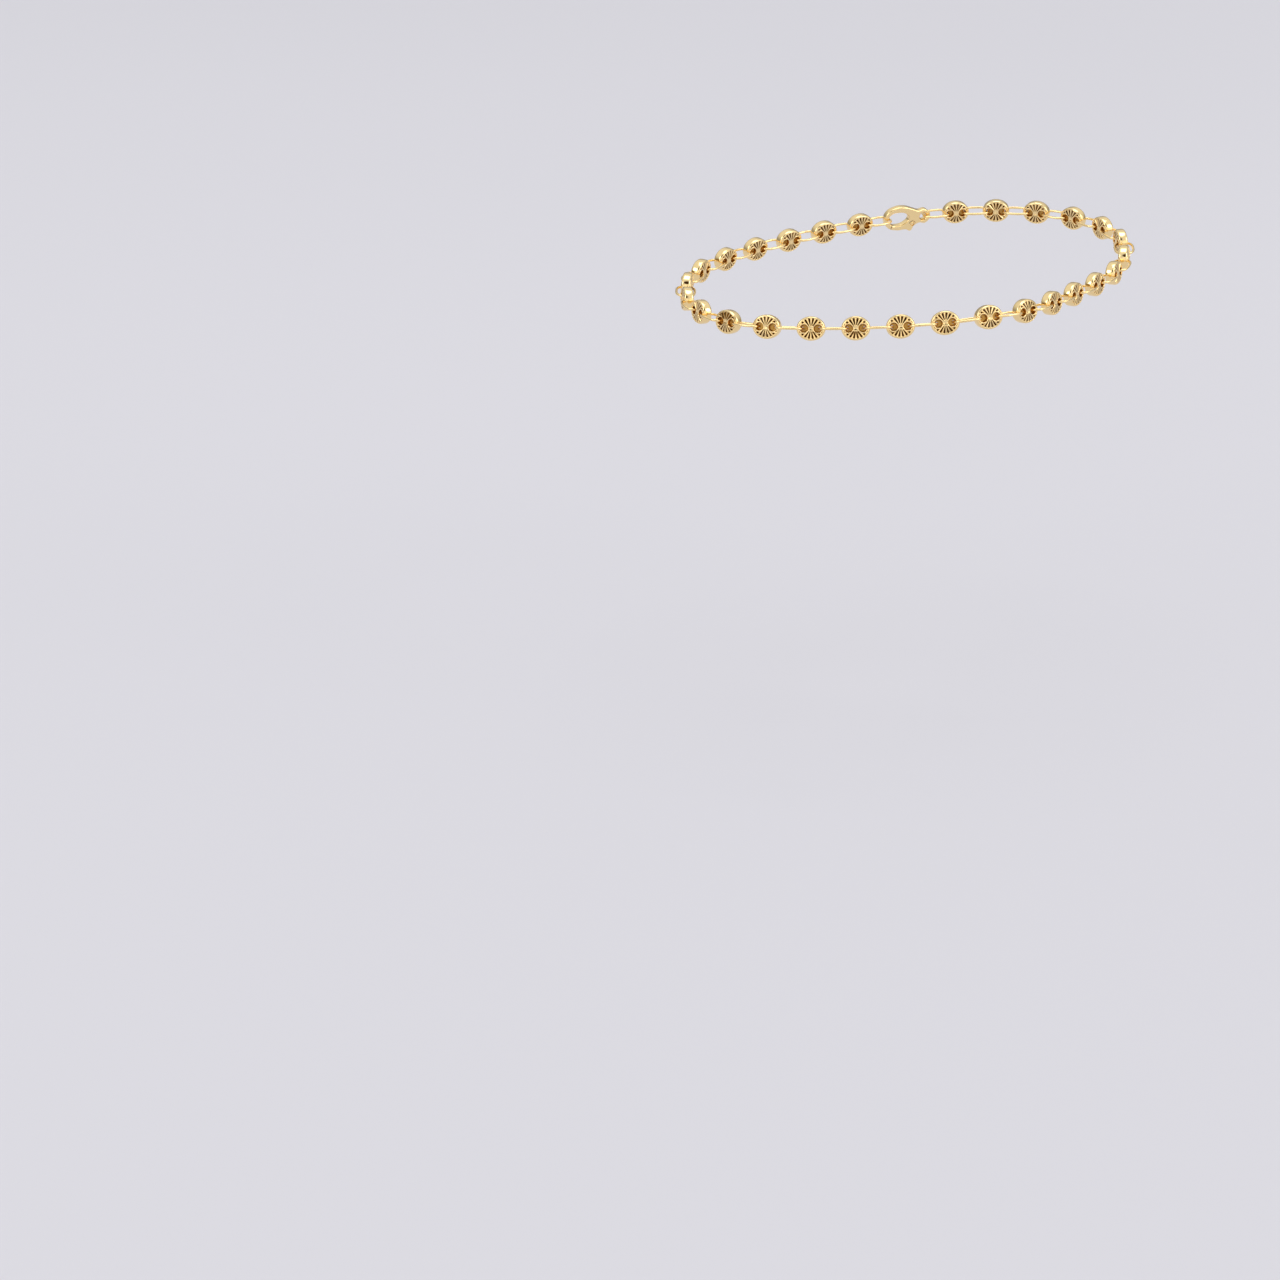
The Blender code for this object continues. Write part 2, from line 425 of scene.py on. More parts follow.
def in_scene(name: str, data: bpy.types.ID) -> bpy.types.Object:
    """Puts a mesh, curve, light or camera in the scene.

    Args:
        name: The object's name.
        data: What it shows.

    Returns:
        The object, at the origin.
    """
    made = bpy.data.objects.new(name, data)
    bpy.context.scene.collection.objects.link(made)
    return made


def dressed(name: str, mesh: bpy.types.Mesh, finish: bpy.types.Material) -> bpy.types.Object:
    """Puts a mesh in the scene with one material.

    Args:
        name: The object's name.
        mesh: Its mesh.
        finish: Its material.

    Returns:
        The object, at the origin.
    """
    mesh.materials.clear()
    mesh.materials.append(finish)
    return in_scene(name, mesh)


def plain_mesh(name: str, item: bpy.types.Object) -> bpy.types.Mesh:
    """Turns an object into the mesh that its curve or its modifiers give, and removes it.

    Args:
        name: The mesh's name.
        item: The object.

    Returns:
        A mesh without modifiers.
    """
    bpy.context.view_layer.update()
    graph = bpy.context.evaluated_depsgraph_get()
    mesh = bpy.data.meshes.new_from_object(item.evaluated_get(graph))
    mesh.name = name
    item.modifiers.clear()
    bpy.data.objects.remove(item, do_unlink=True)
    return mesh


def run_tree(
    name: str, base: bpy.types.Mesh, tree: bpy.types.NodeTree, values: Mapping[str, Any]
) -> bpy.types.Mesh:
    """Runs a geometry tree on a mesh and returns the plain result.

    Args:
        name: Name of the resulting mesh.
        base: The mesh that the tree starts from.
        tree: The geometry tree.
        values: Its named inputs.

    Returns:
        A mesh without modifiers.
    """
    carrier = in_scene(name + "_carrier", base)
    modifier = carrier.modifiers.new("tree", "NODES")
    modifier.node_group = tree
    keys = {item.name: item.identifier for item in tree.interface.items_tree}
    for key, value in values.items():
        modifier[keys[key]] = value
    return plain_mesh(name, carrier)


def carve(name: str, body: bpy.types.Mesh, cutters: Sequence[bpy.types.Mesh]) -> bpy.types.Mesh:
    """Cuts closed shapes out of a closed body.

    Args:
        name: Name of the result.
        body: The body.
        cutters: What is cut away.

    Returns:
        The cut mesh.
    """
    blank = in_scene(name + "_blank", body)
    tools = [in_scene(name + "_cutter", cutter) for cutter in cutters]
    for tool in tools:
        cut = blank.modifiers.new("cut", "BOOLEAN")
        cut.operation = "DIFFERENCE"
        cut.solver = "EXACT"
        cut.object = tool
    mesh = plain_mesh(name, blank)
    for tool in tools:
        bpy.data.objects.remove(tool, do_unlink=True)
    return mesh


def written(shape: bmesh.types.BMesh, mesh: bpy.types.Mesh) -> bpy.types.Mesh:
    """Writes a worked shape into a mesh and frees it.

    Args:
        shape: The shape.
        mesh: The mesh that takes it.

    Returns:
        The mesh.
    """
    shape.to_mesh(mesh)
    shape.free()
    return mesh


def joined(name: str, parts: Sequence[bpy.types.Mesh]) -> bpy.types.Mesh:
    """Several meshes with the same attributes as one mesh.

    Args:
        name: The new mesh's name.
        parts: The meshes.

    Returns:
        The joined mesh.
    """
    shape = bmesh.new()
    for part in parts:
        shape.from_mesh(part)
    return written(shape, bpy.data.meshes.new(name))


def store(mesh: bpy.types.Mesh, name: str, values: Any) -> None:
    """Stores one number for each point of a mesh.

    Args:
        mesh: The mesh.
        name: The attribute's name.
        values: One number for each point, or one for all.
    """
    layer = mesh.attributes.get(name) or mesh.attributes.new(name, "FLOAT", "POINT")
    filled = np.zeros(len(mesh.vertices), dtype=np.float32)
    filled[:] = values
    layer.data.foreach_set("value", filled)


def point_columns(mesh: bpy.types.Mesh) -> np.ndarray:
    """The places of a mesh's points.

    Args:
        mesh: The mesh.

    Returns:
        Three rows, one each for x, y and z.
    """
    points = np.zeros(len(mesh.vertices) * 3)
    mesh.vertices.foreach_get("co", points)
    return points.reshape(-1, 3).T


def pole_to_pole(
    name: str, top: Vector, rows: Sequence[Sequence[Vector]], low: Vector
) -> bpy.types.Mesh:
    """A closed mesh over rings of points between two poles.

    Args:
        name: The mesh's name.
        top: The upper pole.
        rows: The rings from the top down, all with as many points.
        low: The lower pole.

    Returns:
        The mesh, its faces outward.
    """
    shape = bmesh.new()
    ends = [shape.verts.new(spot) for spot in (top, low)]
    grid = [[shape.verts.new(spot) for spot in row] for row in rows]
    for step in range(len(grid[0])):
        after = (step + 1) % len(grid[0])
        shape.faces.new((ends[0], grid[0][step], grid[0][after]))
        shape.faces.new((ends[1], grid[-1][after], grid[-1][step]))
        for here, below in zip(grid, grid[1:]):
            shape.faces.new((here[step], below[step], below[after], here[after]))
    bmesh.ops.recalc_face_normals(shape, faces=shape.faces)
    return written(shape, bpy.data.meshes.new(name))


def turned_mesh(name: str, profile: Sequence[Spot], sides: int, centre: Vector) -> bpy.types.Mesh:
    """Turns a profile about an upright axis into a closed shape.

    Args:
        name: The mesh's name.
        profile: (radius, height) from the top to the bottom, both ends on the axis.
        sides: Steps round the axis.
        centre: Where the axis stands.

    Returns:
        The mesh, its faces outward.
    """
    turns = [math.tau * step / sides for step in range(sides)]
    rows = [
        [
            centre + Vector((radius * math.cos(turn), radius * math.sin(turn), height))
            for turn in turns
        ]
        for radius, height in profile[1:-1]
    ]
    top, low = (centre + Vector((0.0, 0.0, height)) for _, height in (profile[0], profile[-1]))
    return pole_to_pole(name, top, rows, low)


def mirrored(half: Sequence[Spot], *middle: Spot) -> list[Spot]:
    """A profile's upper half, what stands on the middle plane, and the lower half."""
    return [*half, *middle, *((radius, -height) for radius, height in reversed(half))]


def bore(name: str, radius: float, reach: float, sides: int, centre: Vector) -> bpy.types.Mesh:
    """A plain round cutter that reaches as far above the middle plane as below it."""
    return turned_mesh(name, mirrored([(0.0, reach), (radius, reach)]), sides, centre)


def quarter_turn(steps: int, first: int = 0) -> list[float]:
    """Angles from 0 to a right angle in even steps, beginning with the step first."""
    return [math.pi / 2 * step / steps for step in range(first, steps + 1)]


# ---------------------------------------------------------------------------------------------
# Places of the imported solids
# ---------------------------------------------------------------------------------------------


@dataclass(frozen=True)
class Place:
    """Where a piece of the chain is and how it is turned.

    Args:
        middle: Its middle.
        along: Its direction along the chain.
        up: Its upward direction.
        out: The direction that its face looks in.
    """

    middle: Vector
    along: Vector
    up: Vector
    out: Vector

    @property
    def matrix(self) -> Matrix:
        """Brings a piece from its own axes to its place."""
        turn = Matrix((self.along, self.up, self.out)).transposed().to_4x4()
        return Matrix.Translation(self.middle) @ turn


class Lie(Enum):
    """Which axis of a solid is its longest, its middle and its thinnest one."""

    FACE_OUT = "XYZ"
    EDGE_OUT = "XZY"


def solid_axes(node: bpy.types.Object) -> tuple[Vector, list[Vector]]:
    """The middle of a solid's surface and its three main axes.

    Args:
        node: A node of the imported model.

    Returns:
        The middle, and the axes from the longest to the thinnest.
    """
    mesh = node.data
    mesh.calc_loop_triangles()
    corners = np.zeros(len(mesh.loop_triangles) * 3, dtype=np.int64)
    mesh.loop_triangles.foreach_get("vertices", corners)
    tri = point_columns(mesh).T[corners.reshape(-1, 3)]
    area = np.linalg.norm(np.cross(tri[:, 1] - tri[:, 0], tri[:, 2] - tri[:, 0]), axis=1) / 2
    centre = tri.mean(axis=1)
    middle = (centre * area[:, None]).sum(axis=0) / area.sum()
    # The second moments of a triangle come from its corners once and its centre nine times.
    spread = np.zeros((3, 3))
    for weight, spots in ((1, tri[:, 0]), (1, tri[:, 1]), (1, tri[:, 2]), (9, centre)):
        offset = spots - middle
        spread += weight * (offset * area[:, None]).T @ offset
    _, axes = np.linalg.eigh(spread)
    return Vector(middle), [Vector(axes[:, column]) for column in (2, 1, 0)]


def solid_place(node: bpy.types.Object, lie: Lie) -> Place:
    """The place of a link or ring, read from its solid.

    Args:
        node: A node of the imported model.
        lie: Which of its axes is the longest, the middle and the thinnest.

    Returns:
        Its place, with the face turned out of the loop and the top upward.
    """
    middle, axes = solid_axes(node)
    named = dict(zip(lie.value, axes))
    out = named["Z"] if named["Z"].dot(middle) > 0 else -named["Z"]
    up = named["Y"] if named["Y"].z > 0 else -named["Y"]
    up = (up - out * up.dot(out)).normalized()
    return Place(middle, up.cross(out), up, out)


def placed_rows(name: str, places: Sequence[Place]) -> bpy.types.Mesh:
    """A mesh of one point per place, which carries the turn of its piece.

    Args:
        name: The mesh's name.
        places: The places.

    Returns:
        The points, with the turns as an attribute named turn.
    """
    mesh = bpy.data.meshes.new(name)
    mesh.from_pydata([place.middle for place in places], [], [])
    turns = mesh.attributes.new("turn", "FLOAT_VECTOR", "POINT")
    for item, place in zip(turns.data, places):
        item.vector = Vector(place.matrix.to_euler())
    return mesh


def chain_tree() -> bpy.types.NodeTree:
    """The geometry tree that stands one master piece at every place of a run.

    Returns:
        A tree with the inputs Geometry, Piece and Finish.
    """
    sheet = Sheet.geometry("stand_in_a_row")
    rows = sheet.given("Geometry", "NodeSocketGeometry")
    piece = sheet.given("Piece", "NodeSocketObject")
    finish = sheet.given("Finish", "NodeSocketMaterial")
    turn = sheet.term(
        "GeometryNodeInputNamedAttribute", {"data_type": "FLOAT_VECTOR"}, {"Name": "turn"}
    )
    master = sheet.term(
        "GeometryNodeObjectInfo", None, {"Object": piece, "As Instance": True}, "Geometry"
    )
    stand = {
        "Points": rows,
        "Instance": master,
        "Rotation": sheet.term("FunctionNodeEulerToRotation", None, {0: turn}),
    }
    return sheet.close(sheet.term("GeometryNodeInstanceOnPoints", None, stand), finish)


def stand_in_rows(
    name: str, master: bpy.types.Mesh, places: Sequence[Place], finish: bpy.types.Material
) -> bpy.types.Object:
    """Stands a master piece at every place and joins them into one piece.

    Args:
        name: The piece's name.
        master: The mesh that is repeated.
        places: Where it stands.
        finish: Its material.

    Returns:
        The finished object, at the origin.
    """
    pattern = in_scene(name + "_master", master)
    values = {"Piece": pattern, "Finish": finish}
    mesh = run_tree(name, placed_rows(name + "_rows", places), chain_tree(), values)
    bpy.data.objects.remove(pattern, do_unlink=True)
    return dressed(name, mesh, finish)


def hand_over(piece: bpy.types.Object, nodes: Sequence[str]) -> None:
    """Parents a finished piece to its body, hides the solids that it stands for and reports it.

    Args:
        piece: The piece.
        nodes: The solids that it stands for.
    """
    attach(piece, BODY)
    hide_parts(*nodes)
    count = sum(len(face.vertices) - 2 for face in piece.data.polygons)
    LOG.info("%s: %d triangles for %d solids", piece.name, count, len(nodes))


# ---------------------------------------------------------------------------------------------
# Puffed links
# ---------------------------------------------------------------------------------------------


@dataclass
class PuffedLinks:
    """The puffed oval links: bright-cut flutes on both faces, two round eyes, a plain rim.

    Args:
        length: Along the chain.
        height: Across the chain.
        crown: Half thickness at the middle.
        shoulder: Half thickness where the flutes end.
        wall: Half height of the plain side wall.
        belt: Share of the way out that the side wall bulges to.
        rim: Share of the way out at which the flutes end and the rim begins.
        flutes: How many flutes go round.
        depth: Depth of a flute at its outer end.
        bow: Exponent of a flute's sides: 1 is a plain V.
        groove_shade_full: Share of a flute's depth at which the painted shade in its groove is
            full.
        pinch: How far the faces sink at the very middle.
        pinch_reach: Share of the way out over which that dies away.
        eye_offset: From the middle of the link to the middle of an eye.
        eye_bottom: Radius of an eye's bowl at its bottom.
        eye_mouth: Radius of an eye at its mouth.
        fillet: Rounding between the bowl's wall and its bottom.
        flat: Share of the bowl's bottom at which a ring of points stands.
        collar: Half height of the smooth collar round an eye.
        collar_width: Width of that collar.
        collar_root: Height at which the collar's outer wall has its last points.
        shade: From the top of the collar down to where an eye gets its painted shade and its matt,
            unpolished finish.
        shade_fade: Depth over which the painted shade and the matt finish set in.
        slack: How far outside the mouth's radius a point still counts as inside the eye.
        web: Thickness of the metal between the bowls of the two faces.
        hole: Radius of the hole that the ring passes through.
        hole_edge: Bevel of its edges.
        hole_offset: From the middle of the link to the middle of that hole.
        bore_reach: Half height of the bore that makes room for an eye.
        spacing: Where the columns of points stand within one flute, as shares of it.
        land: Share of a flute's half width that stays flat on each side of a ridge.
        face_steps: Steps from the middle of a face to where the flutes run out.
        end_steps: Steps over the ends of the flutes.
        rim_steps: Steps over the rim.
        fillet_steps: Steps over an eye's fillet.
        collar_steps: Steps over an eye's collar.
        bore_sides: Steps round an eye's bore.
        eye_sides: Steps round an eye.
        hole_sides: Steps round a ring's hole.
        run_in: Shares of the rim between which the flutes reach their depth.
        run_out: Share of the rim at which the flutes begin to run out.
        crease: Degrees from which an edge is sharp.
        groups: How many pieces the links are shared over.
    """

    length: float = 5.6 * MM
    height: float = 4.7 * MM
    crown: float = 1.05 * MM
    shoulder: float = 0.92 * MM
    wall: float = 0.42 * MM
    belt: float = 1.008
    rim: float = 0.875
    flutes: int = 18
    depth: float = 0.26 * MM
    bow: float = 1.2
    groove_shade_full: float = 0.5
    pinch: float = 0.12 * MM
    pinch_reach: float = 0.12
    eye_offset: float = 1.34 * MM
    eye_bottom: float = 0.74 * MM
    eye_mouth: float = 0.78 * MM
    fillet: float = 0.22 * MM
    flat: float = 0.3
    collar: float = 1.0 * MM
    collar_width: float = 0.27 * MM
    collar_root: float = 0.5 * MM
    shade: float = 0.12 * MM
    shade_fade: float = 0.3 * MM
    slack: float = 0.01 * MM
    web: float = 0.3 * MM
    hole: float = 0.31 * MM
    hole_edge: float = 0.05 * MM
    hole_offset: float = 1.65 * MM
    bore_reach: float = 1.4 * MM
    spacing: tuple[float, ...] = (0.0, 0.14, 0.2, 0.35, 0.5, 0.65, 0.8, 0.86)
    land: float = 0.28
    face_steps: int = 14
    end_steps: int = 7
    rim_steps: int = 7
    fillet_steps: int = 5
    collar_steps: int = 8
    bore_sides: int = 48
    eye_sides: int = 56
    hole_sides: int = 40
    run_in: tuple[float, float] = (0.14, 0.36)
    run_out: float = 0.9
    crease: float = 28.0
    groups: int = 4

    def build(self, frame: Mapping[str, Any], finish: GoldFinish) -> list[bpy.types.Object]:
        """Makes every link and hands the runs over to the frame.

        Args:
            finish: The links' finish.

        Returns:
            One object for each run of links.
        """
        nodes = sorted(name for name in frame["nodes"] if name.startswith("puffed_link"))
        master = self._master()
        material = finish.material()
        size = math.ceil(len(nodes) / self.groups)
        made = []
        for group in range(self.groups):
            names = nodes[group * size:(group + 1) * size]
            places = [solid_place(frame["nodes"][name], Lie.FACE_OUT) for name in names]
            run = stand_in_rows(f"fluted_links_run_{group + 1}", master, places, material)
            hand_over(run, names)
            made.append(run)
        return made

    def _master(self) -> bpy.types.Mesh:
        """One link in its own axes.

        Returns:
            The link's mesh with its marks: where the flutes are cut, the painted shade in their
            grooves, and the painted shade and matt finish inside the eyes.
        """
        sides = (1.0, -1.0)
        fluted = run_tree("fluted_blank", self._blank(), self._flute_tree(), self._flute_sizes())
        body = carve("fluted_body", fluted, [self._eye_bore(side) for side in sides])
        store(body, "hollow", 0.0)
        mesh = joined("puffed_link_master", [body, *(self._eyelet(side) for side in sides)])
        mesh.shade_smooth()
        mesh.set_sharp_from_angle(angle=math.radians(self.crease))
        return mesh

    def _profile(self) -> list[Spot]:
        """One face of the smooth pillow, in section.

        Returns:
            (share of the way out, half thickness) from the middle of the face to the wall.
        """
        ends = 1.0 - self.run_out
        shares = [self.run_out * step / self.face_steps for step in range(self.face_steps)]
        shares += [
            self.run_out + ends * step / self.end_steps for step in range(self.end_steps + 1)
        ]
        rows = []
        for share in (self.rim * part for part in shares):
            dome = self.shoulder + (self.crown - self.shoulder) * (1 - (share / self.rim) ** 2)
            sunk = self.pinch * math.exp(-((share / self.pinch_reach) ** 2))
            rows.append((share, dome - sunk))
        for turn in quarter_turn(self.rim_steps, 1):
            share = self.rim + (1.0 - self.rim) * math.sin(turn)
            rows.append((share, self.wall + (self.shoulder - self.wall) * math.cos(turn)))
        return rows

    def _blank(self) -> bpy.types.Mesh:
        """The smooth oval pillow before the flutes are cut.

        Returns:
            A closed mesh on a grid of columns and rows, with a ridge at each column 0.
        """
        (_, pole), *face = self._profile()
        turns = [
            math.tau * (flute + 0.5 + share) / self.flutes
            for flute in range(self.flutes)
            for share in self.spacing
        ]
        rows = []
        for share, height in mirrored(face, (self.belt, 0.0)):
            x, y = self.length / 2 * share, self.height / 2 * share
            rows.append([Vector((x * math.cos(t), y * math.sin(t), height)) for t in turns])
        top, low = (Vector((0.0, 0.0, height)) for height in (pole, -pole))
        return pole_to_pole("oval_pillow", top, rows, low)

    def _flute_sizes(self) -> dict[str, float]:
        """The sizes that the flute tree takes.

        Returns:
            Its inputs by name.
        """
        return {
            "Half Length": self.length / 2,
            "Half Height": self.height / 2,
            "Rim": self.rim,
            "Flutes": float(self.flutes),
            "Depth": self.depth,
            "Land": self.land,
            "Run In": self.run_in[0],
            "Run Full": self.run_in[1],
            "Run Out": self.run_out,
        }

    def _flute_tree(self) -> bpy.types.NodeTree:
        """The geometry tree that cuts the flutes into both faces.

        Returns:
            A tree that moves the points of the blank and stores where the flutes are cut and where
            their grooves are darkened with painted shade.
        """
        sheet = Sheet.geometry("cut_flutes")
        stored = sheet.given("Geometry", "NodeSocketGeometry")
        half_length, half_height, rim, flutes, depth, land, run_in, run_full, run_out = (
            sheet.sizes(self._flute_sizes())
        )
        x, y, z = sheet.split(sheet.term("GeometryNodeInputPosition"))
        along = x / half_length
        across = y / half_height
        # Half a flute brings the ridges to 0 and 1, whole ones keep the count above zero.
        count_from = 64.5
        turn = across.made("ARCTAN2", along)
        within = (turn * flutes / math.tau + count_from).made("FRACT")
        swing = ((within * 2.0 - 1.0).made("ABSOLUTE") / (1.0 - land)).made("MINIMUM", 1.0)
        groove = 1.0 - swing ** self.bow
        outward = (along * along + across * across).made("SQRT") / rim
        past = ((outward - run_out) / (1.0 - run_out)).eased(0.0, 1.0)
        fade = outward.eased(run_in, run_full) * (1.0 - past)
        height = z.made("ABSOLUTE") - depth * groove * outward * fade
        moved = {"Geometry": stored, "Position": sheet.vector(x, y, z.made("SIGN") * height)}
        stored = sheet.term("GeometryNodeSetPosition", None, moved)
        # Besides where the flutes are cut, this stores a mask that darkens the bottom of each
        # groove with painted shade.
        marks = {"cut": fade, "valley": groove.eased(0.0, self.groove_shade_full) * fade}
        for name, value in marks.items():
            stored = sheet.term(
                "GeometryNodeStoreNamedAttribute",
                {"data_type": "FLOAT", "domain": "POINT"},
                {"Geometry": stored, "Name": name, "Value": value},
            )
        return sheet.close(stored)

    def _eye_bore(self, side: float) -> bpy.types.Mesh:
        """The plain bore that makes room for one eye.

        Args:
            side: +1 or -1, the side of the link.

        Returns:
            The cutter's mesh.
        """
        radius = self.eye_mouth + self.collar_width / 2
        centre = Vector((side * self.eye_offset, 0.0, 0.0))
        return bore("eye_bore", radius, self.bore_reach, self.bore_sides, centre)

    def _eyelet(self, side: float) -> bpy.types.Mesh:
        """One eye: a bowl from each face with a rounded collar, and the pierced web between.

        Args:
            side: +1 or -1, the side of the link.

        Returns:
            The eye's mesh with its marks, among them the painted shade and matt finish deep inside
            it.
        """
        half_width = self.collar_width / 2
        floor = self.web / 2
        base = self.collar - half_width
        crest = self.eye_mouth + half_width
        rows = [(0.0, floor), (self.flat * self.eye_bottom, floor)]
        for turn in quarter_turn(self.fillet_steps):
            radius = self.eye_bottom - self.fillet * (1 - math.sin(turn))
            rows.append((radius, floor + self.fillet * (1 - math.cos(turn))))
        for step in range(self.collar_steps + 1):
            turn = math.pi * (1 - step / self.collar_steps)
            rows.append((crest + half_width * math.cos(turn), base + half_width * math.sin(turn)))
        rows.append((rows[-1][0], self.collar_root))
        centre = Vector((side * self.eye_offset, 0.0, 0.0))
        eye = turned_mesh("eyelet", mirrored(rows), self.eye_sides, centre)
        mesh = carve("pierced_eyelet", eye, [self._ring_hole(side)])
        x, y, z = point_columns(mesh)
        # Deep inside the eye the colour is darkened into painted shade and the metal is made matt.
        inside = np.hypot(x - centre.x, y) < self.eye_mouth + self.slack
        deep = np.clip((self.collar - self.shade - np.abs(z)) / self.shade_fade, 0.0, 1.0)
        for name, values in (("cut", 0.0), ("valley", 0.0), ("hollow", inside * deep)):
            store(mesh, name, values)
        return mesh

    def _ring_hole(self, side: float) -> bpy.types.Mesh:
        """The shape that pierces the web of an eye for its ring.

        Args:
            side: +1 or -1, the side of the link.

        Returns:
            The cutter's mesh.
        """
        wide, floor = self.hole + self.hole_edge, self.web / 2
        half = [(0.0, self.web), (wide, self.web), (wide, floor)]
        half.append((self.hole, floor - self.hole_edge))
        centre = Vector((side * self.hole_offset, 0.0, 0.0))
        return turned_mesh("ring_hole", mirrored(half), self.hole_sides, centre)


# ---------------------------------------------------------------------------------------------
# Wire rings
# ---------------------------------------------------------------------------------------------


@dataclass
class WireRings:
    """The oval wire rings that join the links.

    Args:
        wire: Diameter of the wire.
        inner_length: Inside length, along the chain.
        inner_width: Inside width, through the links.
        squareness: Exponent of the oval: 2 is a plain ellipse.
        points: Steps along the wire.
        sides: Steps round the wire.
        weld: Distance within which points at the wire's seam are one.
    """

    wire: float = 0.5 * MM
    inner_length: float = 4.92 * MM
    inner_width: float = 3.2 * MM
    squareness: float = 2.8
    points: int = 56
    sides: int = 16
    weld: float = 1e-7

    def build(self, frame: Mapping[str, Any], finish: GoldFinish) -> bpy.types.Object:
        """Makes every ring and hands them over to the frame.

        Args:
            finish: The rings' finish.

        Returns:
            One object with all the rings.
        """
        nodes = sorted(name for name in frame["nodes"] if name.startswith("wire_ring"))
        places = [solid_place(frame["nodes"][name], Lie.EDGE_OUT) for name in nodes]
        rings = stand_in_rows("drawn_wire_rings", self._master(), places, finish.material())
        hand_over(rings, nodes)
        return rings

    def _master(self) -> bpy.types.Mesh:
        """One ring in its own X-Z plane.

        Returns:
            The ring's closed mesh.
        """
        values = {
            "Half Length": (self.inner_length + self.wire) / 2,
            "Half Width": (self.inner_width + self.wire) / 2,
            "Power": 2.0 / self.squareness,
            "Wire Radius": self.wire / 2,
            "Points": self.points,
            "Sides": self.sides,
        }
        mesh = run_tree("ring", bpy.data.meshes.new("no_mesh"), self._ring_tree(values), values)
        shape = bmesh.new()
        shape.from_mesh(mesh)
        bmesh.ops.remove_doubles(shape, verts=shape.verts, dist=self.weld)
        bmesh.ops.recalc_face_normals(shape, faces=shape.faces)
        written(shape, mesh).shade_smooth()
        return mesh

    def _ring_tree(self, values: Mapping[str, Union[int, float]]) -> bpy.types.NodeTree:
        """The geometry tree that bends the wire into its oval.

        Args:
            values: The ring's sizes by name.

        Returns:
            A tree with the ring's sizes as inputs.
        """
        sheet = Sheet.geometry("bend_wire")
        half_length, half_width, power, radius, points, sides = sheet.sizes(values)
        rounds = ({"Resolution": points, "Radius": 1.0}, {"Resolution": sides, "Radius": radius})
        circle, section = (
            sheet.term("GeometryNodeCurvePrimitiveCircle", None, given) for given in rounds
        )
        x, y, _ = sheet.split(sheet.term("GeometryNodeInputPosition"))
        along = x.made("SIGN") * x.made("ABSOLUTE") ** power * half_length
        across = y.made("SIGN") * y.made("ABSOLUTE") ** power * half_width
        bent = {"Geometry": circle, "Position": sheet.vector(along, 0.0, across)}
        oval = sheet.term("GeometryNodeSetPosition", None, bent)
        swept = {"Curve": oval, "Profile Curve": section}
        return sheet.close(sheet.term("GeometryNodeCurveToMesh", None, swept))


# ---------------------------------------------------------------------------------------------
# Claw clasp
# ---------------------------------------------------------------------------------------------


